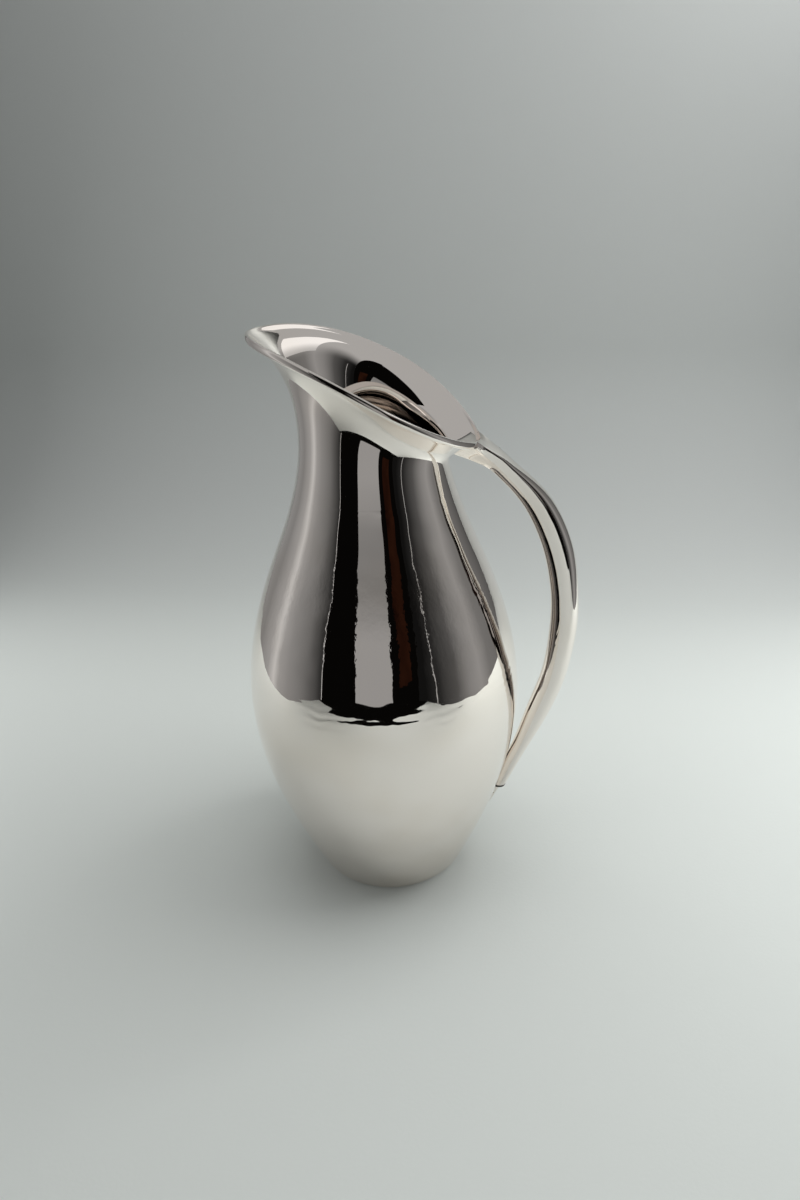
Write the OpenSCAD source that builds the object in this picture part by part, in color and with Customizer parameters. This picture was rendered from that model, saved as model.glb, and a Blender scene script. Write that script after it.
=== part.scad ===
// Water pitcher in sheet silver: a pear-shaped hollow body with a long neck, a lip that sweeps up
// into a spout at -X, and a hollow handle at +X that grows out of the low side of the lip.
// +Z is up. The origin is the middle of the foot, on the table. The XZ plane is the plane of symmetry.

/* [Body] */
// Outer radius of the wall where it meets the table
foot_r = 38; // [34:0.5:46]
// How fast the wall opens out just above the foot, as radius gained per height
foot_slope = 0.42; // [0.3:0.01:0.5]
// Outer radius of the belly at its widest
belly_r = 62.5; // [52:0.5:75]
// Height of the widest part of the belly
belly_h = 94; // [80:1:108]
// Outer radius where the shoulder turns from convex to hollow
shoulder_r = 47; // [42:0.5:54]
// Height of that turn
shoulder_h = 160; // [150:1:170]
// How fast the wall closes in at that turn, as radius lost per height
shoulder_slope = 0.42; // [0.3:0.01:0.5]
// Outer radius of the neck at its narrowest
neck_r = 30; // [25:0.5:36]
// Height at which the narrow of the neck is reached
neck_h = 218; // [212:1:232]
// Thickness of the sheet silver
wall = 1; // [0.85:0.05:1.2]
// Height of the solder seam between the lower body and the neck
seam_h = 118; // [110:1:130]
// Height of the solder seam between the neck and the lip
lip_seam_h = 196; // [190:1:200]

/* [Foot] */
// Radius of the rounding on the bottom edge of the wall
foot_round = 0.6; // [0.3:0.05:0.6]
// Height of the flat wire ring that the pitcher stands on
foot_wire_h = 2.4; // [1.6:0.1:4]
// Width of that ring
foot_wire_w = 2.2; // [1.4:0.1:4]
// Thickness of the bottom disc
base_t = 1.1; // [0.8:0.05:1.4]
// Rise of the bottom disc at its middle
base_rise = 2.6; // [1:0.1:5]

/* [Lip] */
// Height of the rim at the tip of the spout
spout_h = 258; // [236:1:310]
// Height of the rim where the handle grows out of it
joint_h = 215; // [209:1:225]
// Distance from the axis to the tip of the spout
spout_reach = 47; // [40:0.5:56]
// Distance from the axis to the rim at the handle
back_reach = 44; // [40:0.5:52]
// Half the width of the mouth at its widest
mouth_half_w = 38.5; // [35:0.5:46.5]
// Distance of the widest place of the mouth from the axis, towards the handle
mouth_wide_x = 8; // [0:0.5:12]
// How late the rim falls on its way from the spout to the handle
rim_sweep = 1.68; // [1.4:0.02:2]
// Angle between the edge of the lip and the vertical
flare_angle = 56; // [45:1:62]
// Angle between the lip's edge and the vertical where the handle grows
back_flare_angle = 68; // [56:1:70]
// Half the thickness of the wire along the rim
rim_wire_w = 1.1; // [0.8:0.05:1.4]
// Half the height of that wire
rim_wire_h = 1.8; // [1.4:0.05:2.4]

/* [Handle] */
// Height of the lower end of the handle's back
handle_end_h = 40; // [34:1:48]
// Thickness of the sheet in the handle
handle_wall = 0.9; // [0.7:0.05:1.1]
// Thickness of the plate that closes the lower end
end_plate_t = 1; // [0.8:0.1:1.6]
// Lean of the cut at the lower end, as slip along the handle per depth
end_cut = 0.9; // [0.4:0.05:1.2]
// Length of the tapered tail below the handle
tail_len = 13; // [8:0.5:18]
// Thickness of the tail at its top
tail_t = 3.2; // [2:0.1:4]
// Thickness of the tail at its point
tail_point_t = 1.6; // [1:0.1:2.4]
// Half the width of the tail at its top
tail_half_w = 3.2; // [2:0.1:4]
// Gap left for solder between the handle and the body
solder_gap = 0.05; // [0.03:0.01:0.1]

/* [Hidden] */
$fn = 160;
// Steps of the turned outline, in height
lower_steps = 40;
neck_steps = 26;
round_steps = 4;
dome_steps = 12;
// Half the height over which the slope of the wall is taken
slope_step = 0.1;
// Columns round the lip, and rows from its seam to its rim
lip_cols = 120;
lip_rows = 14;
// How pointed the mouth is towards the spout and towards the handle (1 is an ellipse)
spout_point = 1.2;
back_point = 1.3;
// Share of the lip's height over which it follows the neck, at the spout and at the handle
lip_follow = 0.42;
back_follow = 0.85;
// Angles of the corners of the rim wire's section, from its lower edge over its outside to its inside
wire_angles = [-115, -85, -50, -15, 20, 55, 90, 125, 160];
// Distance from the middle of the rim wire back to the edge of the sheet
wire_bite = 1.2;
// Columns on each side of the handle's middle that its root covers, with the rows of the lip and the
// corners of the rim wire under it
root_cols = 3;
root_lip_rows = 3;
root_wire_corners = 6;
// Run of the handle's back on its way over the lip, as [x, z]
rim_run = [12, 6];
// Rings in each stretch of the handle, and the ring at which its hollow part starts
ring_steps = 5;
first_ring = 2;
// Half the share of a stretch over which the direction of the handle's back is taken
way_step = 0.05;
// Stretches at the lower end in which the handle may reach the body, and turns of the search for the wall
near_stretches = 4;
reach_turns = 12;
// Share of the lean of the lower cut by which the last stretch gets deeper
cut_gain = 0.25;
// Half the angle round the axis that the blank of the tail takes up, and steps of its outline
tail_turn = 10;
tail_steps = 10;
// The handle, from the lip down: share of the way up, distance of its back from the wall of the body,
// depth, half width, and height of the crown of its back
handle_shape = [[1.00, 0, 8.2, 6.4, 0.3], [0.94, 27, 9, 4.8, 1.2], [0.86, 38, 11.6, 5, 2.8],
                [0.75, 40.5, 12.8, 5.6, 4], [0.63, 36, 12.4, 6.4, 4.4], [0.51, 30, 12.3, 7, 4.6],
                [0.365, 22, 11.4, 6.8, 4.4], [0.24, 15, 10.6, 6, 4], [0.12, 9, 7.4, 4.8, 2.8],
                [0.00, 5.6, 5.2, 3.6, 1.8]];
// Names of the columns of that list
share = 0;
standoff = 1;
depth = 2;
half_width = 3;
crown_height = 4;

// The outline of the body
function hermite(z, z0, r0, s0, z1, r1, s1) =
    let (h = z1 - z0, t = (z - z0) / h)
    (2 * t ^ 3 - 3 * t ^ 2 + 1) * r0 + (t ^ 3 - 2 * t ^ 2 + t) * h * s0
    + (3 * t ^ 2 - 2 * t ^ 3) * r1 + (t ^ 3 - t ^ 2) * h * s1;
function wall_r(z) =
    z < belly_h ? hermite(z, 0, foot_r, foot_slope, belly_h, belly_r, 0)
    : z < shoulder_h ? hermite(z, belly_h, belly_r, 0, shoulder_h, shoulder_r, -shoulder_slope)
    : hermite(z, shoulder_h, shoulder_r, -shoulder_slope, neck_h, neck_r, 0);
function wall_slope(z) = (wall_r(z + slope_step) - wall_r(z - slope_step)) / (2 * slope_step);
// Direction down along the wall, as [x, z]
function wall_way(z) = [-wall_slope(z), -1] / norm([wall_slope(z), 1]);
function inner_r(z) = wall_r(z) - wall * sqrt(1 + wall_slope(z) ^ 2);
function heights(z0, z1, n) = [for (i = [0:n]) z0 + (z1 - z0) * i / n];
function backwards(list) = [for (i = [len(list) - 1:-1:0]) list[i]];

// The rim, seen from above and as a height
function rim_x(u) =
    mouth_wide_x - cos(u) * (cos(u) > 0 ? spout_reach + mouth_wide_x : back_reach - mouth_wide_x);
function rim_y(u) = mouth_half_w * sign(sin(u)) * abs(sin(u)) ^ (cos(u) > 0 ? spout_point : back_point);
function to_back(x) = max(0, (x + spout_reach) / (spout_reach + back_reach));
function rim_z(x) = spout_h - (spout_h - joint_h) * to_back(x) ^ rim_sweep;

// One column of the lip stands in an upright plane through the axis. Its points are [radius, height].
function column_angle(i) = atan2(rim_y(360 * i / lip_cols), rim_x(360 * i / lip_cols));
function rim_crest(i) =
    let (x = rim_x(360 * i / lip_cols), y = rim_y(360 * i / lip_cols))
    [norm([x, y]), rim_z(x)];
function wire_middle(i) = rim_crest(i) - [0, rim_wire_h];
// Value of a size of the lip that changes from the spout to the handle
function round_lip(i, at_spout, at_back) =
    at_spout + to_back(rim_x(360 * i / lip_cols)) * (at_back - at_spout);
function flare_of(i) = round_lip(i, flare_angle, back_flare_angle);
function along_flare(i) = [sin(flare_of(i)), cos(flare_of(i))];
function into_mouth(i) = [-cos(flare_of(i)), sin(flare_of(i))];
function sheet_edge(i) = wire_middle(i) - wire_bite * along_flare(i) - wall / 2 * into_mouth(i);
function lip_curve(i) =
    let (edge = sheet_edge(i), r0 = wall_r(lip_seam_h))
    let (follow = round_lip(i, lip_follow, back_follow) * (edge[1] - lip_seam_h))
    [[r0, lip_seam_h], [r0 + wall_slope(lip_seam_h) * follow, lip_seam_h + follow],
     [neck_r, edge[1] - (edge[0] - neck_r) / tan(flare_of(i))], edge];
function on_curve(c, t) =
    (1 - t) ^ 3 * c[0] + 3 * t * (1 - t) ^ 2 * c[1] + 3 * t ^ 2 * (1 - t) * c[2] + t ^ 3 * c[3];
function curve_way(c, t) =
    let (d = (1 - t) ^ 2 * (c[1] - c[0]) + 2 * t * (1 - t) * (c[2] - c[1]) + t ^ 2 * (c[3] - c[2]))
    d / norm(d);
function lip_outside(i, j) = on_curve(lip_curve(i), j / lip_rows);
function lip_inside(i, j) =
    j == 0 ? [inner_r(lip_seam_h), lip_seam_h]
    : let (way = curve_way(lip_curve(i), j / lip_rows)) lip_outside(i, j) + wall * [-way[1], way[0]];
function wire_corner(i, k) =
    wire_middle(i) + [rim_wire_w * cos(wire_angles[k]), rim_wire_h * sin(wire_angles[k])];
function stand(i, p) = [p[0] * cos(column_angle(i)), p[0] * sin(column_angle(i)), p[1]];

// Triangles between closed or open rings of points that follow each other in one list
function quad(a, b, c, d) = [[a, c, b], [a, d, c]];
function skin(rings, n, closed_rings) =
    [for (i = [0:closed_rings ? rings - 1 : rings - 2], k = [0:n - 1])
        each quad(i * n + k, i * n + (k + 1) % n,
                  ((i + 1) % rings) * n + (k + 1) % n, ((i + 1) % rings) * n + k)];
function turned(faces) = [for (f = faces) [f[0], f[2], f[1]]];

// The back of the handle, as [x, z], and what goes with it
function shape_h(k) = handle_end_h + handle_shape[k][share] * (joint_h - handle_end_h);
function shape_back(k) =
    k <= 0 ? [back_reach, joint_h] : [wall_r(shape_h(k)) + handle_shape[k][standoff], shape_h(k)];
last_shape = len(handle_shape) - 1;
function row_or_end(k) = max(0, min(last_shape, k));
// A smooth curve through four values in a row, between the middle two (Catmull-Rom)
function catmull(a, b, c, d, t) =
    0.5 * ((2 * b) + (c - a) * t + (2 * a - 5 * b + 4 * c - d) * t ^ 2 + (3 * b - a - 3 * c + d) * t ^ 3);
function back_at(s) =
    let (k = min(last_shape - 1, floor(s)), a = shape_back(k), b = shape_back(k + 1),
         before = k == 0 ? a - rim_run : shape_back(k - 1),
         after = k + 1 == last_shape ? 2 * b - a : shape_back(k + 2))
    catmull(before, a, b, after, s - k);
function value_at(s, column) =
    let (k = min(last_shape - 1, floor(s)))
    catmull(handle_shape[row_or_end(k - 1)][column], handle_shape[k][column],
            handle_shape[k + 1][column], handle_shape[row_or_end(k + 2)][column], s - k);
function way_at(s) =
    let (d = back_at(min(last_shape, s + way_step)) - back_at(max(0, s - way_step))) d / norm(d);
// Share of the last stretch that lies behind
function last_share(s) = max(0, s - last_shape + 1);
// Direction from the back through the handle towards the body. It leans over in the last stretch.
function depth_way(s) =
    let (way = way_at(s), lean = end_cut * last_share(s) ^ 2,
         d = [way[1], -way[0]] + lean * way) d / norm(d);
// Distance from the back to the wall of the body in that direction
function reach(p, d, guess, turns) =
    turns == 0 ? guess
    : reach(p, d, (wall_r(p[1] + d[1] * guess) + solder_gap - p[0]) / d[0], turns - 1);
function depth_at(s) =
    let (free = value_at(s, depth))
    s < last_shape - near_stretches ? free
    : min(free * (1 + end_cut * cut_gain * last_share(s)),
          reach(back_at(s), depth_way(s), free, reach_turns));

// A section of the handle has its back's corners first, then its sides and underside
back_corners = 2 * root_cols + 1;
root_rows = root_lip_rows + 1 + root_wire_corners;
side_corners = root_rows - 2;
section_corners = 2 * back_corners + 2 * side_corners;
function corner_angle(k) =
    k < back_corners ? 180 * k / (back_corners - 1)
    : 180 + 180 * (k - back_corners + 1) / (section_corners - back_corners + 1);
function section_point(s, k, inset) =
    let (p = back_at(s), d = depth_way(s), a = corner_angle(k), crown = value_at(s, crown_height),
         top = crown + inset, deep = depth_at(s) - inset,
         m = sin(a) >= 0 ? top - crown * sin(a) : top - (deep - top) * sin(a))
    [p[0] + d[0] * m, (value_at(s, half_width) - inset) * cos(a), p[1] + d[1] * m];
function section(s, inset) = [for (k = [0:section_corners - 1]) section_point(s, k, inset)];
handle_rings = [for (i = [first_ring:last_shape * ring_steps]) i / ring_steps];
// The seams of the handle run one corner below the edges of its back
function strip_corners() = [section_corners - 1, for (k = [0:back_corners]) k];
function trough_corners() = [for (k = [back_corners:section_corners - 1]) k];
function half_section(s, corners) =
    [for (k = corners) section_point(s, k, 0), for (k = backwards(corners)) section_point(s, k, handle_wall)];

// The cut end of half a handle, between its outer and inner corners
function half_cap(m, start) =
    [for (k = [0:m - 2])
        each quad(start + k, start + k + 1, start + 2 * m - 2 - k, start + 2 * m - 1 - k)];

// Shapes that more than one piece uses
module turned_shell(z0, z1, n) {
    rotate_extrude()
        polygon(concat([for (z = heights(z0, z1, n)) [wall_r(z), z]],
                       [for (z = heights(z1, z0, n)) [inner_r(z), z]]));
}
module handle_half(corners) {
    n = 2 * len(corners);
    count = len(handle_rings);
    polyhedron(points = [for (s = handle_rings) each half_section(s, corners)],
               faces = concat(skin(count, n, false), turned(half_cap(len(corners), 0)),
                              half_cap(len(corners), (count - 1) * n)));
}

// Pieces
module lower_body() {
    foot = [for (i = [0:round_steps - 1]) let (z = foot_round * (1 - cos(90 * i / round_steps)))
        [wall_r(z) - foot_round * (1 - sin(90 * i / round_steps)), z]];
    color([0.78, 0.77, 0.74])
        rotate_extrude()
            polygon(concat(foot, [for (z = heights(foot_round, seam_h, lower_steps)) [wall_r(z), z]],
                           [for (z = heights(seam_h, foot_round, lower_steps)) [inner_r(z), z]],
                           [[inner_r(foot_round), 0]]));
}
module neck() {
    color([0.74, 0.73, 0.7]) turned_shell(seam_h, lip_seam_h, neck_steps);
}
module flared_lip() {
    n = 2 * (lip_rows + 1);
    color([0.8, 0.79, 0.76])
        polyhedron(points = [for (i = [0:lip_cols - 1])
                       each concat([for (j = [0:lip_rows]) stand(i, lip_outside(i, j))],
                                   [for (j = [lip_rows:-1:0]) stand(i, lip_inside(i, j))])],
                   faces = skin(lip_cols, n, true));
}
module rim_wire() {
    n = len(wire_angles) + 2;
    color([0.85, 0.84, 0.81])
        polyhedron(points = [for (i = [0:lip_cols - 1])
                       each concat([stand(i, lip_outside(i, lip_rows))],
                                   [for (k = [0:n - 3]) stand(i, wire_corner(i, k))],
                                   [stand(i, lip_inside(i, lip_rows))])],
                   faces = skin(lip_cols, n, true));
}
module base_disc() {
    edge = inner_r(foot_wire_h) - solder_gap;
    shelf = inner_r(foot_round) - foot_wire_w;
    dome = [for (i = [0:dome_steps]) let (a = 90 * i / dome_steps)
        [shelf * cos(a), foot_wire_h + base_rise * sin(a)]];
    color([0.7, 0.69, 0.66])
        rotate_extrude()
            polygon(concat([[edge, foot_wire_h]], dome,
                           [for (p = backwards(dome)) p + [0, base_t]], [[edge, foot_wire_h + base_t]]));
}
module foot_ring() {
    edge = inner_r(foot_round);
    color([0.72, 0.71, 0.68])
        rotate_extrude()
            translate([edge - foot_wire_w, 0])
                square([foot_wire_w, foot_wire_h]);
}
module handle_root() {
    // The face that beds on the lip and its wire repeats their own corners, so the two fit exactly
    columns = back_corners;
    rows = root_rows;
    bed = [for (c = [0:columns - 1], r = [0:rows - 1]) let (i = lip_cols / 2 - root_cols + c)
        stand(i, r <= root_lip_rows ? lip_outside(i, lip_rows - root_lip_rows + r)
                                    : wire_corner(i, r - root_lip_rows - 1))];
    bed_faces = [for (c = [0:columns - 2], r = [0:rows - 2])
        each quad(c * rows + r, c * rows + r + 1, (c + 1) * rows + r + 1, (c + 1) * rows + r)];
    edge = concat([for (c = [0:columns - 1]) c * rows + rows - 1],
                  [for (r = [rows - 2:-1:1]) (columns - 1) * rows + r],
                  [for (c = [columns - 1:-1:0]) c * rows],
                  [for (r = [1:rows - 2]) r]);
    far = [for (k = [0:section_corners - 1]) len(bed) + k];
    band = [for (k = [0:section_corners - 1]) let (next = (k + 1) % section_corners)
        each quad(edge[k], edge[next], far[next], far[k])];
    color([0.8, 0.79, 0.76])
        polyhedron(points = concat(bed, section(first_ring / ring_steps, 0)),
                   faces = concat(turned(bed_faces), band, [backwards(far)]));
}
module handle_back_strip() {
    color([0.83, 0.82, 0.79]) handle_half(strip_corners());
}
module handle_trough() {
    color([0.75, 0.74, 0.71]) handle_half(trough_corners());
}
module handle_end_plate() {
    n = section_corners;
    near = section(last_shape, 0);
    step = end_plate_t * wall_way(handle_end_h);
    color([0.77, 0.76, 0.73])
        polyhedron(points = concat(near, [for (p = near) p + [step[0], 0, step[1]]]),
                   faces = concat(skin(2, n, false), [[for (k = [0:n - 1]) k]],
                                  [backwards([for (k = [0:n - 1]) n + k])]));
}
module handle_tail() {
    way = depth_way(last_shape);
    // The tail starts a little below the plate, so that only solder bridges the two
    start = back_at(last_shape) + (end_plate_t + 3 * solder_gap) * wall_way(handle_end_h);
    inner_top = start + way * reach(start, way, depth_at(last_shape), reach_turns);
    outer_top = inner_top - tail_t * way;
    low = inner_top[1] - tail_len;
    bed = [for (z = heights(low, inner_top[1], tail_steps)) [wall_r(z) + solder_gap, z]];
    outer_low = [wall_r(low) + tail_point_t, low];
    // Seen from the front it is a parabola with its point down
    front = [for (i = [-tail_steps:tail_steps]) let (t = i / tail_steps)
        [tail_half_w * t, (tail_len + 2 * tail_t) * t ^ 2]];
    color([0.8, 0.79, 0.76])
        intersection() {
            rotate([0, 0, -tail_turn])
                rotate_extrude(angle = 2 * tail_turn)
                    polygon(concat(bed, [outer_top, outer_low]));
            translate([0, 0, low])
                rotate([90, 0, 90])
                    linear_extrude(2 * belly_r)
                        polygon(front);
        }
}

lower_body();
neck();
flared_lip();
rim_wire();
base_disc();
foot_ring();
handle_root();
handle_back_strip();
handle_trough();
handle_end_plate();
handle_tail();
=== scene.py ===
# %% [markdown]
# # A silver water pitcher
#
# This file builds the looks of a pear-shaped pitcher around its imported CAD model. A silversmith
# raises the body, the neck and the lip from sheet, solders a wire along the lip, bends a hollow
# handle and solders it on, and then planishes and polishes until no seam shows. The steps here
# follow that order. First the frame is loaded, which brings in the CAD nodes in their places.

import math

import bmesh
import bpy
from mathutils import Matrix, Vector


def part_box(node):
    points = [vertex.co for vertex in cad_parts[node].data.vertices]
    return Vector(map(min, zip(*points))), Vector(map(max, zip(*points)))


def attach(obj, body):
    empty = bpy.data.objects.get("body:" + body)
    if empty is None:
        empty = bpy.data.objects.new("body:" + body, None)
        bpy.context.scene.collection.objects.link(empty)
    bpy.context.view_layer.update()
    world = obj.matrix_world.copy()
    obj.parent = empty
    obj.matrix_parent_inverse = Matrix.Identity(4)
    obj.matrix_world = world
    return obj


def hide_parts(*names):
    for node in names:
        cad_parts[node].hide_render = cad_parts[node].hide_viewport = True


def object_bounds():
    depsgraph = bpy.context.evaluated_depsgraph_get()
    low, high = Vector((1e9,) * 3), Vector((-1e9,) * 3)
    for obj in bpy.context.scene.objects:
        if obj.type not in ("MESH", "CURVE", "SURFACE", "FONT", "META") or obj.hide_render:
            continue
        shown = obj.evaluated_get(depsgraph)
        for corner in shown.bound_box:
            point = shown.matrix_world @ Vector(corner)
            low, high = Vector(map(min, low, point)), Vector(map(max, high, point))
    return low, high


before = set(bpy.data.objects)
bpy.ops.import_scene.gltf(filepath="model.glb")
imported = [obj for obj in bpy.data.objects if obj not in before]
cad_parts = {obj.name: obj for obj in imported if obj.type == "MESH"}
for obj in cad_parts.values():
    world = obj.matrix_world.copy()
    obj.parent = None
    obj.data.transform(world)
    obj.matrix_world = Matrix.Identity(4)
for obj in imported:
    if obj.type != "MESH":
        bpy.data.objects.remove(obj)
cad_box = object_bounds()
MM = 0.001
print("CAD box", [tuple(round(x, 4) for x in corner) for corner in cad_box])

# %% [markdown]
# ## The outline of the body
#
# A smith checks its outline against a template. The template
# here is three cubic stretches between a few radii: the foot, the belly at its widest, the turn
# of the shoulder, and the narrow of the neck. The numbers are the CAD part's own, and the heights
# of the seams are read from the boxes of its nodes.

# %% The outline
FOOT_R, FOOT_SLOPE = 38 * MM, 0.42
BELLY_R, BELLY_H = 62.5 * MM, 94 * MM
SHOULDER_R, SHOULDER_H, SHOULDER_SLOPE = 47 * MM, 160 * MM, 0.42
NECK_R, NECK_H = 30 * MM, 218 * MM
SHEET = 1 * MM
SLOPE_STEP = 0.1 * MM
SEAM_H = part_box("neck")[0].z
LIP_SEAM_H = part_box("flared_lip")[0].z


def hermite(z, z0, r0, s0, z1, r1, s1):
    """The radius at z of a cubic stretch from (z0, r0) to (z1, r1), with slopes s0 and s1."""
    h = z1 - z0
    t = (z - z0) / h
    start = (2 * t**3 - 3 * t**2 + 1) * r0 + (t**3 - 2 * t**2 + t) * h * s0
    return start + (3 * t**2 - 2 * t**3) * r1 + (t**3 - t**2) * h * s1


def wall_r(z):
    """The outer radius of the body at height z."""
    if z < BELLY_H:
        return hermite(z, 0, FOOT_R, FOOT_SLOPE, BELLY_H, BELLY_R, 0)
    if z < SHOULDER_H:
        return hermite(z, BELLY_H, BELLY_R, 0, SHOULDER_H, SHOULDER_R, -SHOULDER_SLOPE)
    return hermite(z, SHOULDER_H, SHOULDER_R, -SHOULDER_SLOPE, NECK_H, NECK_R, 0)


def wall_slope(z):
    """Radius gained per height at z."""
    return (wall_r(z + SLOPE_STEP) - wall_r(z - SLOPE_STEP)) / (2 * SLOPE_STEP)


def inner_r(z):
    """The inner radius of the body at height z."""
    return wall_r(z) - SHEET * math.hypot(1, wall_slope(z))


# %% [markdown]
# ## The outline of the lip
#
# Seen from above, the mouth is an oval that comes to a soft point at the spout and at the
# handle. Seen from the side, its rim falls from the spout to the handle, slowly at first. Each
# column of the lip is one curve in an upright plane: it follows the neck and then flares.

# %% The lip's curves
SPOUT_H = cad_box[1].z
SPOUT_REACH, BACK_REACH = 47 * MM, 44 * MM
JOINT_H = 215 * MM
MOUTH_HALF_W, MOUTH_WIDE_X = 38.5 * MM, 8 * MM
SPOUT_POINT, BACK_POINT = 1.2, 1.3
RIM_SWEEP = 1.68
FLARE, BACK_FLARE = math.radians(56), math.radians(68)
LIP_FOLLOW, BACK_FOLLOW = 0.42, 0.85
WIRE_W, WIRE_H, WIRE_BITE = 1.1 * MM, 1.8 * MM, 1.2 * MM
CREST_ANGLE = 90
COLUMNS = 96
# The wire is filed flush over this many columns on each side of the handle, and there it loses
# this share of its width. The third number is a power, and below 1 the filing sets in quickly.
FILED_COLS, FILED_WIDTH, FILED_EASE = 12, 0.5, 0.5


def rim_point(column):
    """The crest of the rim at a column. The columns run round the pitcher from 0, the spout."""
    u = 2 * math.pi * column / COLUMNS
    spout_side = math.cos(u) > 0
    reach = SPOUT_REACH + MOUTH_WIDE_X if spout_side else BACK_REACH - MOUTH_WIDE_X
    x = MOUTH_WIDE_X - math.cos(u) * reach
    power = SPOUT_POINT if spout_side else BACK_POINT
    y = MOUTH_HALF_W * math.copysign(abs(math.sin(u)) ** power, math.sin(u))
    fall = max(0.0, (x + SPOUT_REACH) / (SPOUT_REACH + BACK_REACH)) ** RIM_SWEEP
    return Vector((x, y, SPOUT_H - (SPOUT_H - JOINT_H) * fall))


CREST = [rim_point(i) for i in range(COLUMNS)]
TURN = [math.atan2(p.y, p.x) for p in CREST]


def stand(column, radius, height):
    """A point in the upright plane of a column."""
    return Vector((radius * math.cos(TURN[column]), radius * math.sin(TURN[column]), height))


def lip_curve(column):
    """The four control points, each (radius, height), of the outside of the lip."""
    crest = CREST[column]
    to_back = max(0.0, (crest.x + SPOUT_REACH) / (SPOUT_REACH + BACK_REACH))
    flare = FLARE + to_back * (BACK_FLARE - FLARE)
    along = Vector((math.sin(flare), math.cos(flare)))
    inward = Vector((-math.cos(flare), math.sin(flare)))
    middle = Vector((math.hypot(crest.x, crest.y), crest.z - WIRE_H))
    edge = middle - WIRE_BITE * along - SHEET / 2 * inward
    share = LIP_FOLLOW + to_back * (BACK_FOLLOW - LIP_FOLLOW)
    follow = share * (edge.y - LIP_SEAM_H)
    start = Vector((wall_r(LIP_SEAM_H), LIP_SEAM_H))
    second = start + Vector((wall_slope(LIP_SEAM_H) * follow, follow))
    third = Vector((NECK_R, edge.y - (edge.x - NECK_R) / math.tan(flare)))
    return start, second, third, edge


def lip_point(column, t, inside):
    """A point of the lip's outside or inside, at share t of the way from its seam to its edge."""
    a, b, c, d = lip_curve(column)
    at = (1 - t) ** 3 * a + 3 * t * (1 - t) ** 2 * b + 3 * t**2 * (1 - t) * c + t**3 * d
    if inside:
        way = (1 - t) ** 2 * (b - a) + 2 * t * (1 - t) * (c - b) + t**2 * (d - c)
        way.normalize()
        at = at + SHEET * Vector((-way.y, way.x))
    return stand(column, at.x, at.y)


def wire_point(column, angle):
    """A corner of the rim wire's section. The inside lies past CREST_ANGLE."""
    crest = CREST[column]
    a = math.radians(angle)
    filed = max(0, 1 - abs(column - COLUMNS // 2) / FILED_COLS) ** FILED_EASE
    out = WIRE_W * (1 - FILED_WIDTH * filed) * math.cos(a)
    at = stand(column, math.hypot(crest.x, crest.y) + out, crest.z - WIRE_H + WIRE_H * math.sin(a))
    if angle <= CREST_ANGLE:
        return at
    slope = crest.lerp(lip_point(column, 1, True), (angle - CREST_ANGLE) / 90)
    return at.lerp(slope, filed)


# %% [markdown]
# ## The outline of the handle
#
# The handle leaves the lip as a flat strip with two ridges, arches away from the neck, and comes
# back to the belly as a slim oval. Its back follows a smooth curve through ten places, and each
# place gives a depth, a half width and how high its back is crowned.

# %% The handle's sections
HANDLE_END_H = 40 * MM
SOLDER_GAP = 0.05 * MM
# How far the lower end is cut slanting, and how much deeper the handle may grow on that slant
END_CUT, CUT_GAIN = 0.9, 0.25
# share of the way up, distance from the wall, depth, half width, crown (all but the first in mm)
HANDLE = [
    (1.00, 0, 8.2, 6.4, 0.3),
    (0.94, 27, 9, 4.8, 1.2),
    (0.86, 38, 11.6, 5, 2.8),
    (0.75, 40.5, 12.8, 5.6, 4),
    (0.63, 36, 12.4, 6.4, 4.4),
    (0.51, 30, 12.3, 7, 4.6),
    (0.365, 22, 11.4, 6.8, 4.4),
    (0.24, 15, 10.6, 6, 4),
    (0.12, 9, 7.4, 4.8, 2.8),
    (0.00, 5.6, 5.2, 3.6, 1.8),
]
DEPTH, HALF_WIDTH, CROWN = 2, 3, 4
LAST = len(HANDLE) - 1
# The run of the rim just before the handle, which sets the direction that the handle leaves in
RIM_RUN = Vector((12, 6)) * MM
# From this place down, the wall of the body limits the depth of the handle
NEAR = LAST - 4
# Half the stretch over which a direction is measured, and how many rounds it takes to find the wall
WAY_STEP, SETTLE_STEPS = 0.05, 12


def place(k):
    """The back of the handle at one of the ten places, as (x, z)."""
    share, standoff = HANDLE[k][:2]
    height = HANDLE_END_H + share * (JOINT_H - HANDLE_END_H)
    return Vector((BACK_REACH if k == 0 else wall_r(height) + standoff * MM, height))


def through(a, b, c, d, t):
    """A smooth curve through four values, between the middle two."""
    cubic = (3 * b - a - 3 * c + d) * t**3
    return 0.5 * (2 * b + (c - a) * t + (2 * a - 5 * b + 4 * c - d) * t**2 + cubic)


def back_at(s):
    """The back of the handle at s, which counts the places from the lip down."""
    k = min(LAST - 1, int(s))
    a, b = place(k), place(k + 1)
    before = a - RIM_RUN if k == 0 else place(k - 1)
    after = 2 * b - a if k + 1 == LAST else place(k + 2)
    return through(before, a, b, after, s - k)


def size_at(s, column):
    """DEPTH, HALF_WIDTH or CROWN of the handle at s."""
    k = min(LAST - 1, int(s))
    values = [HANDLE[max(0, min(LAST, i))][column] * MM for i in (k - 1, k, k + 1, k + 2)]
    return through(*values, s - k)


def depth_way(s):
    """Direction from the back of the handle towards the body, as (x, z)."""
    way = (back_at(min(LAST, s + WAY_STEP)) - back_at(max(0, s - WAY_STEP))).normalized()
    lean = END_CUT * max(0, s - LAST + 1) ** 2
    return (Vector((way.y, -way.x)) + lean * way).normalized()


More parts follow.
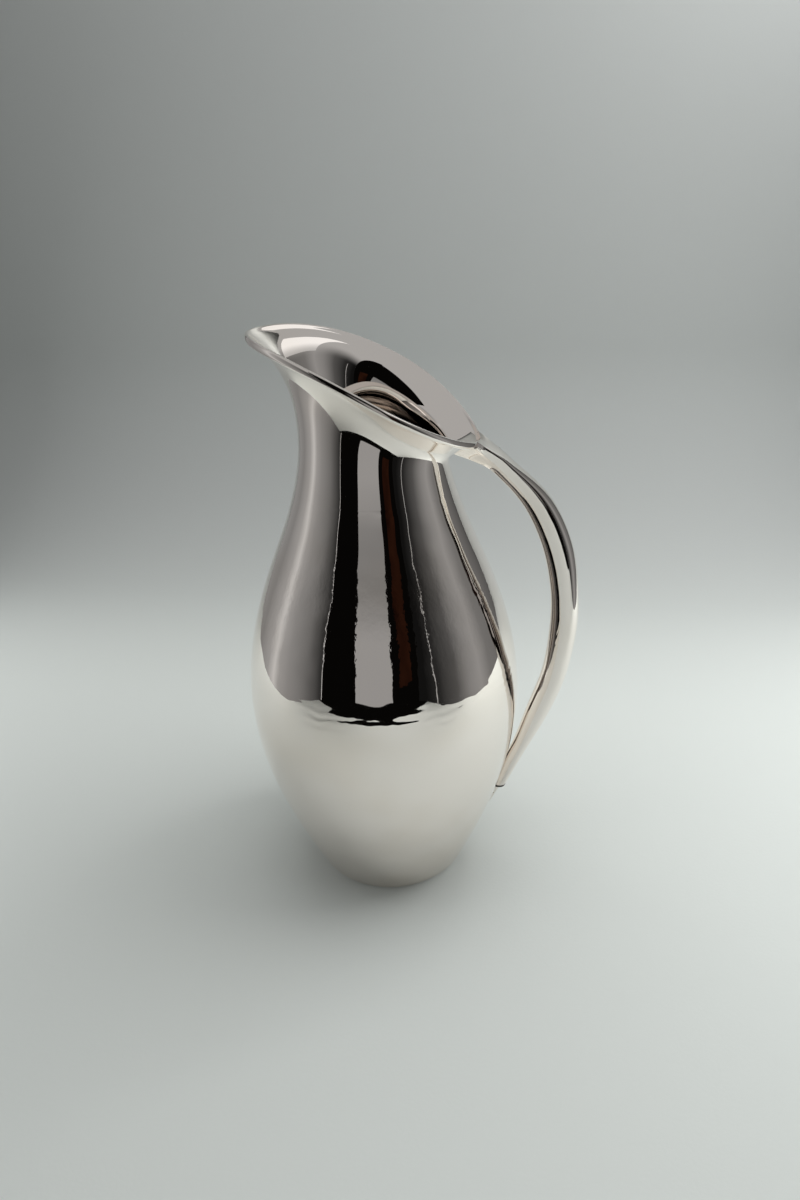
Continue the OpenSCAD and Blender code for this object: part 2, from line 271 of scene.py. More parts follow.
def depth_at(s):
    """Depth of the handle at s, which the wall of the body limits near the lower end."""
    free = size_at(s, DEPTH)
    if s < NEAR:
        return free
    at, way, far = back_at(s), depth_way(s), free
    for _ in range(SETTLE_STEPS):
        far = (wall_r(at.y + way.y * far) + SOLDER_GAP - at.x) / way.x
    return min(free * (1 + END_CUT * CUT_GAIN * max(0, s - LAST + 1)), far)


def section_point(s, angle):
    """A point of the handle's section: its back up to 180 degrees, and then its inner side."""
    a = math.radians(angle)
    crown, deep = size_at(s, CROWN), depth_at(s)
    if angle <= 180:
        into = crown - crown * math.sin(a)
    else:
        into = crown - (deep - crown) * math.sin(a)
    at = back_at(s) + into * depth_way(s)
    return Vector((at.x, size_at(s, HALF_WIDTH) * math.cos(a), at.y))


WIDEST = 3.2
print("handle", round(back_at(WIDEST).x, 4), "CAD", round(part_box("handle_back_strip")[1].x, 4))

# %% [markdown]
# ## The camera
#
# The camera stands in front of the pitcher, a little to its right and above its rim. It is made
# before the pieces so that each can be looked at. A short lens close by gives the strong taper
# towards the foot, which a long lens from further off would flatten.

# %% The camera
# Lens and sensor width, in mm
LENS, SENSOR = 25.5, 36
camera_data = bpy.data.cameras.new("camera")
camera_data.lens = LENS
camera_data.sensor_width = SENSOR
camera = bpy.data.objects.new("camera", camera_data)
bpy.context.scene.collection.objects.link(camera)
bpy.context.scene.camera = camera
CAMERA_AT = Vector((0.0583, -0.3308, 0.3220))
TURN_LEFT, LOOK_DOWN, TIP = math.radians(8.504), math.radians(28.56), math.radians(-2.3)
aim = Matrix.Rotation(TURN_LEFT, 3, "Z") @ Matrix.Rotation(math.pi / 2 - LOOK_DOWN, 3, "X")
aim = aim @ Matrix.Rotation(TIP, 3, "Z")
camera.matrix_world = Matrix.Translation(CAMERA_AT) @ aim.to_4x4()
print("camera looks along", [round(x, 4) for x in -aim.col[2]])

# %% [markdown]
# ## Raising the skin
#
# A smith raises a pitcher ring by ring, and so does this step. It starts from a circle at the
# foot, and extrudes and widens it up the outline to the lip. There each new ring's points move
# onto their own curves, round the wire, down the inside of the lip and down the inside of the
# body. Subdivision then smooths the cage. One cage for the whole sheet keeps the polish unbroken
# over the solder seams. A lathe-like spin could not make the lip, because it isn't round.

# %% Helpers for modelling by rings


def start_fresh():
    """Blender is in object mode and nothing is selected."""
    if bpy.context.object and bpy.context.object.mode != "OBJECT":
        bpy.ops.object.mode_set(mode="OBJECT")
    bpy.ops.object.select_all(action="DESELECT")


def edit(obj):
    """Opens one object in edit mode with nothing selected, and returns its mesh."""
    start_fresh()
    obj.select_set(True)
    bpy.context.view_layer.objects.active = obj
    bpy.ops.object.mode_set(mode="EDIT")
    bpy.ops.mesh.select_mode(type="VERT")
    bpy.ops.mesh.select_all(action="DESELECT")
    mesh = bmesh.from_edit_mesh(obj.data)
    mesh.verts.ensure_lookup_table()
    return mesh


def select_loop(mesh, loop):
    """Selects the points of a closed loop, given in order, and the edges between them."""
    mesh.verts.ensure_lookup_table()
    chosen = [mesh.verts[i] for i in loop]
    for v, after in zip(chosen, chosen[1:] + chosen[:1]):
        v.select = True
        edge = mesh.edges.get((v, after))
        if edge:
            edge.select = True


def extrude_loop(obj, loop, points):
    """Extrudes a selected loop and puts each new point at its place. Returns the new loop."""
    bpy.ops.mesh.extrude_edges_move()
    mesh = bmesh.from_edit_mesh(obj.data)
    mesh.verts.ensure_lookup_table()
    order = {index: k for k, index in enumerate(loop)}
    new_loop = [None] * len(loop)
    for v in mesh.verts:
        if v.select:
            k = next(order[e.other_vert(v).index] for e in v.link_edges
                     if e.other_vert(v).index in order)
            v.co = points[k]
            new_loop[k] = v.index
    bmesh.update_edit_mesh(obj.data)
    return new_loop


def apply_modifier(obj, kind, **settings):
    """Adds a modifier with these settings and applies it."""
    start_fresh()
    obj.select_set(True)
    bpy.context.view_layer.objects.active = obj
    bpy.ops.object.modifier_add(type=kind)
    modifier = obj.modifiers[-1]
    for name, value in settings.items():
        setattr(modifier, name, value)
    bpy.ops.object.modifier_apply(modifier=modifier.name)


def circle(radius, height):
    """A ring of points, one in each column's plane."""
    return [stand(i, radius, height) for i in range(COLUMNS)]


def even(low, high, steps):
    """Values from low, which is left out, to high."""
    return [low + (high - low) * i / steps for i in range(1, steps + 1)]


# %% The sheet, ring by ring
BODY_ROWS, NECK_ROWS, LIP_ROWS = 24, 18, 10
BODY_ROWS_INSIDE, NECK_ROWS_INSIDE = 14, 10
WIRE_ANGLES = (-115, -75, -30, 10, 50, CREST_ANGLE, 140)
FOOT_ROUND = 0.6 * MM
rings = [circle(FOOT_R - FOOT_ROUND, 0), circle(wall_r(FOOT_ROUND), FOOT_ROUND)]
rings += [circle(wall_r(2 * FOOT_ROUND), 2 * FOOT_ROUND)]
rings += [circle(wall_r(z), z) for z in even(2 * FOOT_ROUND, SEAM_H, BODY_ROWS)]
seam_ring = len(rings)
rings += [circle(wall_r(z), z) for z in even(SEAM_H, LIP_SEAM_H, NECK_ROWS)]
lip_seam_ring = len(rings)
rings += [[lip_point(i, t, False) for i in range(COLUMNS)] for t in even(0, 1, LIP_ROWS)]
edge_ring = len(rings)
rings += [[wire_point(i, angle) for i in range(COLUMNS)] for angle in WIRE_ANGLES]
crest_ring = edge_ring + 1 + WIRE_ANGLES.index(CREST_ANGLE)
inner_edge_ring = len(rings)
inside_rows = reversed([0] + even(0, 1, LIP_ROWS))
rings += [[lip_point(i, t, True) for i in range(COLUMNS)] for t in inside_rows]
lip_seam_inside = len(rings)
neck_inside = [SEAM_H] + even(SEAM_H, LIP_SEAM_H, NECK_ROWS_INSIDE)[:-1]
rings += [circle(inner_r(z), z) for z in reversed(neck_inside)]
seam_inside = len(rings)
body_inside = even(2 * FOOT_ROUND, SEAM_H, BODY_ROWS_INSIDE)[:-1]
rings += [circle(inner_r(z), z) for z in reversed(body_inside)]
rings += [circle(inner_r(FOOT_ROUND), 2 * FOOT_ROUND)]
start_fresh()
start_r = inner_r(FOOT_ROUND)
bpy.ops.mesh.primitive_circle_add(vertices=COLUMNS, radius=start_r, location=(0, 0, 0))
skin = bpy.context.object
skin.name = "whole_skin"
for v, at in zip(skin.data.vertices, circle(start_r, 0)):
    v.co = at
mesh = edit(skin)
loops = [list(range(COLUMNS))]
select_loop(mesh, loops[0])
for ring in rings:
    loops.append(extrude_loop(skin, loops[-1], ring))
mesh = edit(skin)
select_loop(mesh, loops[0])
select_loop(mesh, loops[-1])
bpy.ops.mesh.select_mode(type="EDGE")
bpy.ops.mesh.bridge_edge_loops()
bpy.ops.object.mode_set(mode="OBJECT")
print("rings", len(loops), "faces", len(skin.data.polygons))

# %% [markdown]
# ## Marking the pieces on the skin
#
# A smith joins the bowl, the neck, the lip and the wire with hard solder, which can't be seen once
# it is filed. The skin keeps these pieces as a number on each face. A face belongs to the piece
# whose span of rings it lies in, first up the outside and then down the inside. A cloth reaches
# the inside of the lip, which is as bright as the outside. The rest, from a few rows above the
# lip's seam down, is painted nearly black: partly tarnish, partly painted shade for the deep inside.

# %% Which face belongs to which piece
PIECES = ["lower_body", "neck", "flared_lip", "rim_wire", "handle_root", "handle_back_strip",
          "handle_trough"]
BODY, NECK, LIP, WIRE, ROOT, STRIP, TROUGH = range(len(PIECES))
SPANS = [(seam_ring, BODY), (lip_seam_ring, NECK), (edge_ring, LIP), (inner_edge_ring, WIRE),
         (lip_seam_inside, LIP), (seam_inside, NECK), (len(loops), BODY)]
THROAT_ROWS = 3
# From this ring down the inside is painted nearly black: partly tarnish, partly painted shade
tarnish_and_shade_ring = lip_seam_inside - THROAT_ROWS
ring_of = {v: k for k, loop in enumerate(loops) for v in loop}


def mark(face, piece, inside):
    """Notes the piece and the side of a face in its material number, until the pieces part."""
    face.material_index = 2 * piece + inside


for face in skin.data.polygons:
    ring = min(ring_of[v] for v in face.vertices)
    mark(face, next(piece for end, piece in SPANS if ring < end), ring >= tarnish_and_shade_ring)
print("faces in the neck", sum(f.material_index // 2 == NECK for f in skin.data.polygons))

# %% [markdown]
# ## Growing the handle out of the lip
#
# On the real pitcher the rim's two sides run together at the back and go on as the ridges of the
# handle, with no step. So the handle is not a separate tube pushed against the lip. A patch of
# the lip and its wire is opened at the back, and its edge is extruded along the handle, section
# by section. Creases keep the two ridges crisp above and let them fade where the handle turns oval.

# %% The handle
ROOT_COLS, ROOT_ROWS = 4, 3
BACK_ANGLES = (0, 12, 32, 60, 90, 120, 148, 168, 180)
# The handle's rings stand this far apart, counted in its places, and the first is number 3. The
# faces up to ring FIRST_STOP are the solid root.
RING_STEP, START_RING, FIRST_STOP = 0.2, 3, 1
back = COLUMNS // 2
left, right = back - ROOT_COLS, back + ROOT_COLS
low_ring, high_ring = edge_ring - ROOT_ROWS, crest_ring
across, down = range(left, right + 1), range(high_ring - 1, low_ring, -1)
patch_edge = [(high_ring, i) for i in across] + [(r, right) for r in down]
patch_edge += [(low_ring, i) for i in reversed(across)] + [(r, left) for r in reversed(down)]
patch_points = [skin.data.vertices[loops[r][i]].co.copy() for r, i in patch_edge]
under = len(patch_edge) - len(BACK_ANGLES) + 1
ANGLES = BACK_ANGLES + tuple(180 + 180 * i / under for i in range(1, under))
mesh = edit(skin)
for r in range(low_ring, high_ring + 1):
    for i in across:
        mesh.verts[loops[r][i]].select = True
bpy.ops.mesh.select_mode(type="FACE")
bpy.ops.mesh.delete(type="FACE")
mesh = edit(skin)
nearest = [min(mesh.verts, key=lambda v: (v.co - at).length_squared).index for at in patch_points]
select_loop(mesh, nearest)
handle_loops = [nearest]
stops = [RING_STEP * i for i in range(START_RING, round(LAST / RING_STEP) + 1)]
for s in stops:
    points = [section_point(s, angle) for angle in ANGLES]
    handle_loops.append(extrude_loop(skin, handle_loops[-1], points))
bpy.ops.object.mode_set(mode="OBJECT")
on_handle = {v: (n, k) for n, loop in enumerate(handle_loops) for k, v in enumerate(loop)}
for face in skin.data.polygons:
    if all(v in on_handle for v in face.vertices):
        along, around = zip(*(on_handle[v] for v in face.vertices))
        on_back = max(around) < len(BACK_ANGLES)
        mark(face, ROOT if max(along) <= FIRST_STOP else STRIP if on_back else TROUGH, False)
print("handle rings", len(handle_loops), "points round", len(ANGLES))

# %% [markdown]
# ## The two ridges of the handle
#
# The back strip is soldered to the trough along two edges. Near the lip the smith leaves these
# edges crisp, and lower down rounds them off. A crease on each edge does the same to the smoothed
# cage: it grows just below the lip and fades before the handle turns towards the body.

# %% The creases
RIDGE_START, RIDGE_FULL, RIDGE_END, CREASE = 0.4, 1.4, 3.2, 0.9
ridges = (0, len(BACK_ANGLES) - 1)
crease = {}
for n, s in enumerate(stops):
    for k in ridges:
        pair = frozenset((handle_loops[n][k], handle_loops[n + 1][k]))
        grown = min(1.0, (s - RIDGE_START) / (RIDGE_FULL - RIDGE_START))
        crease[pair] = CREASE * grown * max(0.0, 1 - (s / RIDGE_END) ** 2)
attribute = skin.data.attributes.new("crease_edge", "FLOAT", "EDGE")
for e in skin.data.edges:
    attribute.data[e.index].value = crease.get(frozenset(e.vertices), 0.0)

# %% [markdown]
# ## Smoothing and planishing
#
# Subdivision rounds the cage as the stake and the mallet round the sheet. Planishing with a
# polished hammer then leaves marks that are broad and very shallow, which is why the reflections
# waver. A cloud texture moves the skin by less than a tenth of a millimetre for the same effect.
# Edges that turn by more than SHARP stay sharp, and all others are polished smooth.

# %% Smoothing and planishing
HAMMER_MARK, HAMMER_DEPTH = 22 * MM, 0.12 * MM
SHARP = math.radians(55)
apply_modifier(skin, "SUBSURF", levels=1, render_levels=1)
hammer = bpy.data.textures.new("hammer", "CLOUDS")
hammer.noise_scale = HAMMER_MARK
hammer.noise_depth = 1
apply_modifier(skin, "DISPLACE", texture=hammer, strength=HAMMER_DEPTH, mid_level=0.5)
mesh = edit(skin)
bpy.ops.mesh.select_all(action="SELECT")
bpy.ops.mesh.normals_make_consistent(inside=False)
bpy.ops.object.mode_set(mode="OBJECT")
bpy.ops.object.shade_smooth_by_angle(angle=SHARP)
print("skin", len(skin.data.polygons), "faces")

# %% [markdown]
# ## Parting the skin at its solder seams
#
# The real pitcher is soldered from seven pieces of sheet and wire, polished as one. The skin is
# parted along the same seams. The body, neck, lip and wire have two sides, so a band of faces
# joins their edges at each seam. The handle's pieces are hollow, and get the thickness of their
# sheet. Each piece then takes the whole skin's normals, so that the polish runs on across a seam.

# %% Parting
HANDLE_SHEET = 0.9 * MM
# A parted piece takes the skin's normals from no further away than this
NORMAL_REACH = 0.2 * MM


def open_loops(mesh):
    """How many separate open edges the selected mesh has."""
    edges = {e for e in mesh.edges if e.is_boundary}
    count = 0
    while edges:
        count += 1
        todo = [edges.pop()]
        while todo:
            near = {e for v in todo.pop().verts for e in v.link_edges} & edges
            edges -= near
            todo += near
    return count


def close_edges(obj, middle):
    """Bridges the open edges of a two-sided piece, the pair below middle and the pair above it."""
    mesh = edit(obj)
    print(obj.name, "open edges", open_loops(mesh))
    for low in (True, False):
        mesh = edit(obj)
        for e in mesh.edges:
            if e.is_boundary and (max(v.co.z for v in e.verts) < middle) == low:
                e.select = True
        if any(e.select for e in mesh.edges):
            bpy.ops.mesh.select_mode(type="EDGE")
            bpy.ops.mesh.bridge_edge_loops()
    bpy.ops.object.mode_set(mode="OBJECT")


# Each two-sided piece with a height between its low open edges and its high ones. The bowl and
# the wire have only one pair of open edges, so 0 leaves both on the high side.
LIP_START = 3 * MM
MIDDLES = {"lower_body": 0, "neck": (SEAM_H + LIP_SEAM_H) / 2,
           "flared_lip": LIP_SEAM_H + LIP_START, "rim_wire": 0}
pieces = {}
for number, name in enumerate(PIECES):
    start_fresh()
    skin.select_set(True)
    bpy.context.view_layer.objects.active = skin
    bpy.ops.object.duplicate()
    piece = bpy.context.object
    piece.name = piece.data.name = name + "_polished"
    mesh = edit(piece)
    for face in mesh.faces:
        face.select = face.material_index // 2 != number
    bpy.ops.mesh.select_mode(type="FACE")
    bpy.ops.mesh.delete(type="FACE")
    if name in MIDDLES:
        close_edges(piece, MIDDLES[name])
    else:
        bpy.ops.object.mode_set(mode="OBJECT")
        apply_modifier(piece, "SOLIDIFY", thickness=HANDLE_SHEET, offset=-1)
    for face in piece.data.polygons:
        face.material_index %= 2
    apply_modifier(piece, "DATA_TRANSFER", object=skin, use_loop_data=True,
                   data_types_loops={"CUSTOM_NORMAL"}, loop_mapping="POLYINTERP_NEAREST",
                   max_distance=NORMAL_REACH, use_max_distance=True)
    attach(piece, "root")
    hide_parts(name)
    pieces[name] = piece
    print(name, len(piece.data.polygons), "faces")
bpy.data.objects.remove(skin)


# %% [markdown]
# ## Silver in three finishes
#
# Silver is warm and reflects nearly all light, so its finish is a matter of how rough it is. The
# outside is planished and then buffed, which leaves it almost a mirror, with broad hammer marks,
# a very fine grain and a low row of beads by each seam. The base disc, the foot ring and the tail
# were only rubbed with fine grit, so they are satin. The inside is never buffed and is painted
# nearly black: partly tarnish, partly painted shade for the deep inside, where little light gets
# in. All three are plain metals in a Principled shader with procedural noise, because noise in
# metres keeps its size on every piece and needs no unwrapping.

# %% A small language for shaders


class Value:
    """A socket that carries a number. Arithmetic on it adds Math nodes."""

    def __init__(self, shade, socket):
        self.shade, self.socket = shade, socket

    def math(self, operation, *others):
        return self.shade.node("ShaderNodeMath", [self, *others], operation=operation)

    def __add__(self, other):
        return self.math("ADD", other)

    def __radd__(self, other):
        return self.math("ADD", other)

    def __sub__(self, other):
        return self.math("SUBTRACT", other)

    def __rsub__(self, other):
        return self.shade.node("ShaderNodeMath", [other, self], operation="SUBTRACT")

    def __mul__(self, other):
        return self.math("MULTIPLY", other)

    def __rmul__(self, other):
        return self.math("MULTIPLY", other)

    def near(self, middle, reach):
        """1 at middle, and 0 at reach from it and beyond."""
        return 1 - (self - middle).math("ABSOLUTE").between(0, reach)

    def between(self, low, high):
        """0 below low, 1 above high, and smooth in between."""
        return self.shade.node(
            "ShaderNodeMapRange", {"Value": self, "From Min": low, "From Max": high},
            interpolation_type="SMOOTHSTEP",
        )


class Shade:
    """One material with a Principled shader, and a short way to add nodes to it."""

    def __init__(self, name, **uniform):
        self.material = bpy.data.materials.new(name)
        self.material.use_nodes = True
        self.tree = self.material.node_tree
        self.surface = self.tree.nodes["Principled BSDF"]
        for socket, value in uniform.items():
            self.surface.inputs[socket.replace("_", " ")].default_value = value

    def node(self, kind, inputs, output=0, stops=None, **settings):
        """Adds a node, sets it up, feeds its inputs, and returns one of its outputs."""
        made = self.tree.nodes.new(kind)
        for key, value in settings.items():
            setattr(made, key, value)
        if stops:
            ramp = made.color_ramp.elements
            while len(ramp) < len(stops):
                ramp.new(0.5)
            for element, (position, colour) in zip(ramp, stops):
                element.position, element.color = position, (*colour, 1)
        pairs = inputs.items() if isinstance(inputs, dict) else enumerate(inputs)
        for key, value in pairs:
            self.feed(made.inputs[key], value)
        return Value(self, made.outputs[output])

    def feed(self, socket, value):
        if isinstance(value, Value):
            self.tree.links.new(value.socket, socket)
        else:
            socket.default_value = value

    def place(self):
        return self.node("ShaderNodeTexCoord", [], output="Object")

    def axis(self, name):
        """How far along X, Y or Z the point is, in metres."""
        return self.node("ShaderNodeSeparateXYZ", [self.place()], output=name)

    def noise(self, size, detail=2, stretch=(1, 1, 1)):
        """Noise from 0 to 1 with features of about this size in metres."""
        at = self.node("ShaderNodeMapping", {"Vector": self.place(), "Scale": stretch})
        return self.node("ShaderNodeTexNoise", {"Vector": at, "Scale": 1 / size, "Detail": detail})

    def blend(self, share, a, b):
        """Colour a where share is 0, b where it is 1."""
        made = self.tree.nodes.new("ShaderNodeMix")
        made.data_type = "RGBA"
        self.feed(made.inputs[0], share)
        for socket, value in zip((made.inputs[6], made.inputs[7]), (a, b)):
            self.feed(socket, value if isinstance(value, Value) else (*value, 1))
        return Value(self, made.outputs[2])

    def relief(self, height, depth, under=None):
        """A bump of this depth in metres, laid over another one if that is given."""
        inputs = {"Height": height, "Distance": depth, "Strength": 1.0}
        if under:
            inputs["Normal"] = under
        return self.node("ShaderNodeBump", inputs)

    def finish(self, **varying):
        for socket, value in varying.items():
            self.feed(self.surface.inputs[socket.replace("_", " ")], value)
        return self.material


def wear(obj, *materials):
    obj.data.materials.clear()
    for material in materials:
        obj.data.materials.append(material)


# %% Polished, satin and tarnished silver, the last partly painted shade
SILVER, DULL_SILVER = (0.95, 0.895, 0.845), (0.86, 0.79, 0.71)
# These near-black colours are partly tarnish and partly painted shade, for the deep inside and the
# gap at the handle's end
BLACK_TARNISH_AND_SHADE, BROWN_TARNISH_AND_SHADE = (0.02, 0.017, 0.015), (0.05, 0.043, 0.036)
# Sizes of the marks
CLOUD, GRAIN, BLOW = 50 * MM, 0.9 * MM, 16 * MM
CREEP, PATCH, PEEL, STAIN = 14 * MM, 45 * MM, 2.2 * MM, 20 * MM
# The low beads by the seams, in radians per metre of height, and how far they wander
BEADS_PER_M, BEADS_WANDER = 1400, 9
BEAD_OFFSET, BEAD_REACH = 4 * MM, 9 * MM
PATCH_H, PATCH_REACH, PEEL_DEPTH = 158 * MM, 50 * MM, 1.4
CLOUDY_ROUGH, CLOUDY_DULL = 0.03, 0.6
TARNISH_ROUGH, STAIN_ROUGH = 0.45, 0.2


def silver(name, gloss, wobble, grain, crinkle=0.0):
    """Silver with hammer marks of depth wobble, fine grain, and crinkles by the seams."""
    shade = Shade(name, Metallic=1.0)
    cloudy = shade.noise(CLOUD).between(0.45, 0.75)
    fine = shade.noise(GRAIN, detail=3)
    broad = shade.noise(BLOW, detail=1)
    rough = gloss + CLOUDY_ROUGH * cloudy + grain * fine.between(0.5, 0.8)
    colour = shade.blend(cloudy * CLOUDY_DULL, SILVER, DULL_SILVER)
    planished = shade.relief(broad, wobble)
    if crinkle:
        height = shade.axis("Z")
        by_seams = height.near(SEAM_H - BEAD_OFFSET, BEAD_REACH)
        by_seams = by_seams + height.near(LIP_SEAM_H + BEAD_OFFSET, BEAD_REACH)
        creep = shade.noise(CREEP, detail=2)
        beads = (height * BEADS_PER_M + BEADS_WANDER * creep).math("SINE") * by_seams
        planished = shade.relief(beads * creep.between(0.35, 0.6), crinkle, under=planished)
        patches = shade.noise(PATCH, detail=1).between(0.42, 0.55)
        patches = patches * height.near(PATCH_H, PATCH_REACH)
        peel = shade.noise(PEEL, detail=2, stretch=(1, 1, 0.6)) * patches
        planished = shade.relief(peel, crinkle * PEEL_DEPTH, under=planished)
    return shade.finish(Base_Color=colour, Roughness=rough, Normal=planished)


body_silver = silver("planished_silver", 0.02, 0.25 * MM, 0.02, crinkle=0.03 * MM)
bright_silver = silver("bright_silver", 0.02, 0.08 * MM, 0.01)
satin_silver = silver("satin_silver", 0.25, 0.02 * MM, 0.1)
# The dark inside material: partly tarnish, partly painted shade
inside = Shade("tarnish_and_painted_shade", Metallic=1.0)
stain = inside.noise(STAIN, detail=4).between(0.3, 0.7)
tarnish_and_shade_silver = inside.finish(
    Base_Color=inside.blend(stain, BROWN_TARNISH_AND_SHADE, BLACK_TARNISH_AND_SHADE),
    Roughness=TARNISH_ROUGH + STAIN_ROUGH * stain)
for name, piece in pieces.items():
    outer = body_silver if name in ("lower_body", "neck") else bright_silver
    wear(piece, outer, tarnish_and_shade_silver)
for name in ("base_disc", "foot_ring", "handle_tail"):
    wear(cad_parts[name], satin_silver)
# Painted shade: the end plate is dark to stand for the shadowed gap at the handle's lower end
wear(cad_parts["handle_end_plate"], tarnish_and_shade_silver)
print("finishes", [m.name for m in (body_silver, bright_silver, satin_silver, tarnish_and_shade_silver)])

# %% [markdown]
# ## The booth
#
# A polished pot shows its surroundings more than itself, so the booth it stands in is part of its
# looks. It is a paper sweep, with grey walls that get lighter away from the open front, a bright
# ceiling, a lit cloth on the right wall, and a dim strip of light and a brown patch in the open
# front. The paper is painted darker towards the back, as painted shade for light that falls off
# there. All but the paper are only there for the reflections. They are flat cards that glow, since
# a card gives an even tone with a clean edge, which a lamp doesn't. Lamps light the paper.

# %% The paper
LEFT, RIGHT, FRONT, BACK, TOP = -0.385, 0.39, -0.44, 0.42, 0.85
SWEEP, SWEEP_STEPS, WIDER = 0.16, 16, 2
# The second colour is painted shade: from the first Y value below to the back, the paper darkens
# towards it, standing in for light that falls off up the sweep
PAPER, SHADED_FAR_PAPER = (0.76, 0.80, 0.77), (0.50, 0.52, 0.51)
PAINTED_SHADE_FROM = 0.10
FIBRE, FIBRE_DEPTH = 1.5 * MM, 0.05 * MM


def flat(name, low_front, low_back, high_back, high_front):
    """A plane whose four corners are moved to their places."""
    start_fresh()
    bpy.ops.mesh.primitive_plane_add(location=(0, 0, 0))
    obj = bpy.context.object
    obj.name = obj.data.name = name
    for v, at in zip(obj.data.vertices, (low_front, low_back, high_front, high_back)):
        v.co = at
    return obj


left_side, right_side = WIDER * LEFT, WIDER * RIGHT
paper = flat("paper", (left_side, FRONT, 0), (right_side, FRONT, 0),
             (right_side, BACK - SWEEP, 0), (left_side, BACK - SWEEP, 0))
profile = []
for i in range(1, SWEEP_STEPS + 1):
    a = math.pi / 2 * i / SWEEP_STEPS
    profile.append((BACK - SWEEP + SWEEP * math.sin(a), SWEEP - SWEEP * math.cos(a)))
profile.append((BACK, TOP))
mesh = edit(paper)
far_edge = max(mesh.edges, key=lambda e: sum(v.co.y for v in e.verts))
bpy.ops.mesh.select_mode(type="EDGE")
far_edge.select_set(True)
for y, z in profile:
    bpy.ops.mesh.extrude_edges_move()
    for v in bmesh.from_edit_mesh(paper.data).verts:
        if v.select:
            v.co.y, v.co.z = y, z
bpy.ops.object.mode_set(mode="OBJECT")
paper.data.shade_smooth()
matt = Shade("paper", Roughness=0.85)
fibres = matt.relief(matt.noise(FIBRE, detail=4), FIBRE_DEPTH)
# Painted shade: the paper's colour darkens towards the back
tone = matt.blend(matt.axis("Y").between(PAINTED_SHADE_FROM, BACK), PAPER, SHADED_FAR_PAPER)
wear(paper, matt.finish(Base_Color=tone, Normal=fibres))
print("paper", len(paper.data.polygons), "strips, floor faces up",
      paper.data.polygons[0].normal.z > 0)

# %% Walls, ceiling and strip, for the reflections


def glow(name, light_of):
    """A material that only glows. light_of takes the shade and returns the colour of its light."""
    shade = Shade(name, Base_Color=(0, 0, 0, 1), Specular_IOR_Level=0.0, Emission_Strength=1.0)
    return shade.finish(Emission_Color=light_of(shade))


def card(name, corners, light_of):
    """A glowing card that only reflections show."""
    obj = flat(name, *corners)
    wear(obj, glow(name, light_of))
    obj.visible_camera = obj.visible_diffuse = obj.visible_shadow = False


def upright(x, front_low, front_high, back, low=0.0, high=TOP):
    """The corners of a card that runs from the front to the back at x. Its front edge may lean."""
    return (x, front_low, low), (x, back, low), (x, back, high), (x, front_high, high)


def in_front(foot, top, low, high):
    """The corners of a card in the open front, between two x values at its foot and two on top."""
    return (foot[0], FRONT, low), (foot[1], FRONT, low), (top[1], FRONT, high), (top[0], FRONT, high)


def grey(level):
    return (level, level, level)


def wall_light(levels):
    """Light of a wall: levels at shares of its way to the back, and bright on top."""

    def light_of(shade):
        share = (shade.axis("Y") - FRONT) * (1 / (BACK - FRONT))
        side = shade.node("ShaderNodeValToRGB", [share], stops=[(p, grey(v)) for p, v in levels])
        return shade.blend(shade.axis("Z").between(*BRIGHT_TOP), side, grey(CEILING_LIGHT))

    return light_of


def even_light(low, high, start, end):
    """Light that changes from low at height start to high at height end."""
    return lambda shade: shade.blend(shade.axis("Z").between(start, end), grey(low), grey(high))


# The walls reach the brightness of the ceiling between these heights
BRIGHT_TOP, CEILING_LIGHT = (0.42, 0.62), 0.40
# The front edges of the walls lean, from the first number at the floor to the second at the top
LEFT_EDGE, RIGHT_EDGE = (-0.47, -0.45), (-0.55, -0.40)
# Share of the way to the back, and how light the wall is there
LEFT_LEVELS = [(0, 0.03), (0.12, 0.09), (0.2, 0.15), (0.35, 0.24), (0.43, 0.32), (0.48, 0.52),
               (0.55, 0.32), (0.7, 0.21), (0.93, 0.26), (1, 0.03)]
RIGHT_LEVELS = [(0, 0.006), (0.16, 0.022), (0.3, 0.08), (0.42, 0.22), (0.5, 0.28), (0.6, 0.17),
                (0.75, 0.14), (0.95, 0.09), (1, 0.02)]
card("wall_left", upright(LEFT, *LEFT_EDGE, BACK), wall_light(LEFT_LEVELS))
card("wall_right", upright(RIGHT, *RIGHT_EDGE, BACK), wall_light(RIGHT_LEVELS))
# Thin bright lines along the front edges of the walls, this far in front of them
EDGE = 0.004
FOLD, FOLD_W, FOLD_H = FRONT + 0.10, 0.008, 0.4
low_y, high_y = LEFT_EDGE
card("edge_left", ((LEFT + EDGE, low_y - EDGE, 0), (LEFT + EDGE, low_y + EDGE, 0),
                   (LEFT + EDGE, high_y + EDGE, TOP), (LEFT + EDGE, high_y - EDGE, TOP)),
     even_light(0.5, 0.5, 0, 1))
card("edge_right", upright(RIGHT - EDGE, FOLD, FOLD, FOLD + FOLD_W, high=FOLD_H),
     even_light(0.35, 0.35, 0, 1))
card("ceiling", ((LEFT, FRONT, TOP), (RIGHT, FRONT, TOP), (RIGHT, BACK, TOP), (LEFT, BACK, TOP)),
     even_light(CEILING_LIGHT, CEILING_LIGHT, 0, 1))
CLOTH_FRONT, CLOTH_BACK, CLOTH_LOW, CLOTH_HIGH = -0.02, 0.34, 0.48, 0.76
card("key_cloth", upright(RIGHT - EDGE, CLOTH_FRONT, CLOTH_FRONT, CLOTH_BACK, CLOTH_LOW, CLOTH_HIGH),
     even_light(0.5, 0.95, CLOTH_LOW, 0.62))
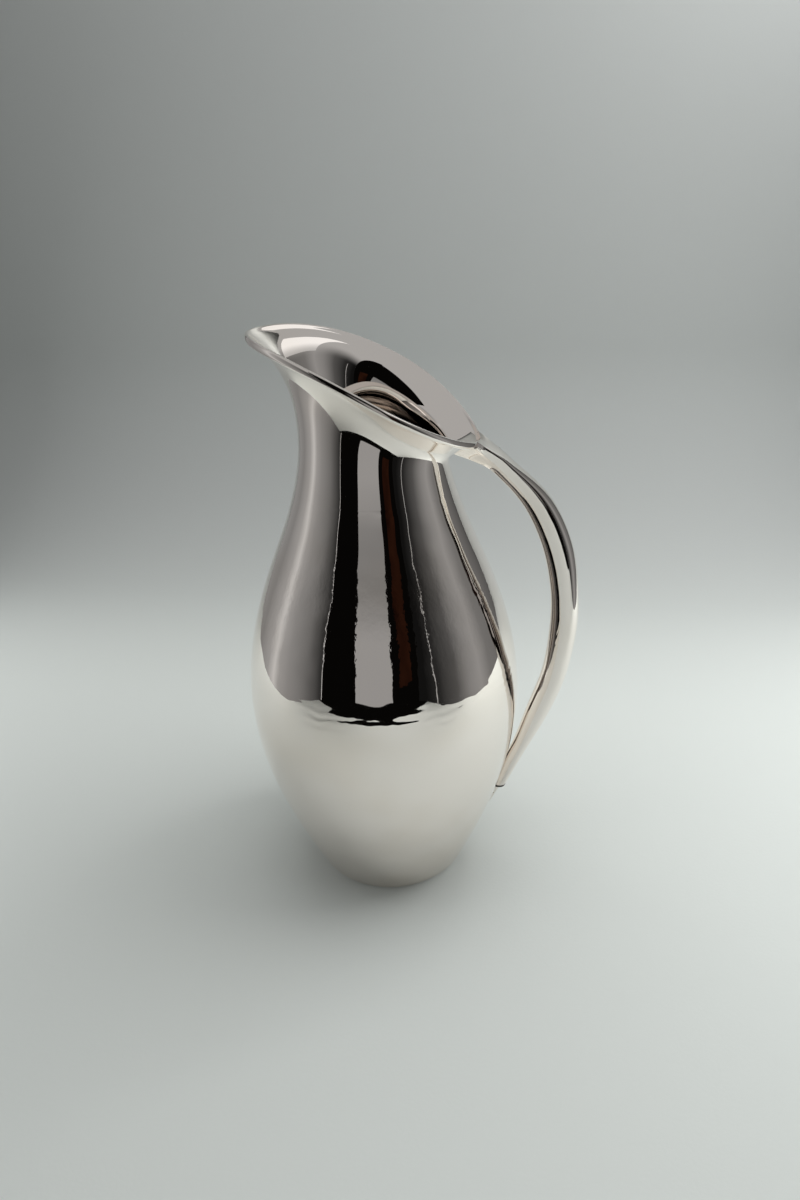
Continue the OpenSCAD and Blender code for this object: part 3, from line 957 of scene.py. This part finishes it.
# The strip and the patch end at the same height
STRIP_LOW, PATCH_LOW, STRIP_HIGH = 0.05, 0.10, 0.34
card("light_strip", in_front((-0.095, 0.115), (-0.105, 0.135), STRIP_LOW, STRIP_HIGH),
     even_light(0.3, 0.19, 0.2, 0.32))
WARM_DARK, WARM_LIGHT, WARM_SPOT = (0.002, 0.001, 0.001), (0.03, 0.010, 0.005), 0.1
card("warm_patch", in_front((0.17, 0.26), (0.19, 0.28), PATCH_LOW, STRIP_HIGH),
     lambda shade: shade.blend(shade.noise(WARM_SPOT), WARM_DARK, WARM_LIGHT))

# %% [markdown]
# ## The lights
#
# Silver hides its lights poorly: each lamp would show in it as a hard white square. So the lamps
# are large, soft and left out of reflections, and only the paper gets their light. The key is
# high on the right, a fill hangs overhead, weaker lamps keep the contact shadow open, and one
# brightens the far right corner.

# %% The lights


def light(name, at, towards, width, height, watts):
    """A soft rectangular lamp that reflections and the camera don't show."""
    data = bpy.data.lights.new(name, "AREA")
    data.shape = "RECTANGLE"
    data.size, data.size_y, data.energy = width, height, watts
    obj = bpy.data.objects.new(name, data)
    way = Vector(towards) - Vector(at)
    obj.matrix_world = Matrix.Translation(at) @ way.to_track_quat("-Z", "Y").to_matrix().to_4x4()
    obj.visible_glossy = obj.visible_camera = False
    bpy.context.scene.collection.objects.link(obj)


FOOT = (0, 0, 0.02)
light("key", (0.36, 0.10, 0.60), FOOT, 0.40, 0.40, 1.5)
light("fill", (-0.05, 0.05, 0.83), (-0.05, 0.05, 0), 0.6, 0.6, 2.3)
light("side_right", (0.385, 0.05, 0.15), FOOT, 0.4, 0.3, 0.42)
light("side_left", (-0.38, 0.0, 0.15), FOOT, 0.4, 0.3, 0.30)
light("front", (0.1, -0.44, 0.15), FOOT, 0.5, 0.3, 0.35)
light("corner", (0.30, 0.25, 0.60), (0.24, 0.42, 0.40), 0.1, 0.1, 0.4)
DARK_ROOM, DARK_ROOM_LIGHT = (0.02, 0.018, 0.016, 1), 0.1
world = bpy.data.worlds.new("dark_room")
bpy.context.scene.world = world
world.use_nodes = True
world.node_tree.nodes["Background"].inputs["Color"].default_value = DARK_ROOM
world.node_tree.nodes["Background"].inputs["Strength"].default_value = DARK_ROOM_LIGHT
bpy.context.scene.view_settings.view_transform = "Standard"
print("lights", len(bpy.data.lights))
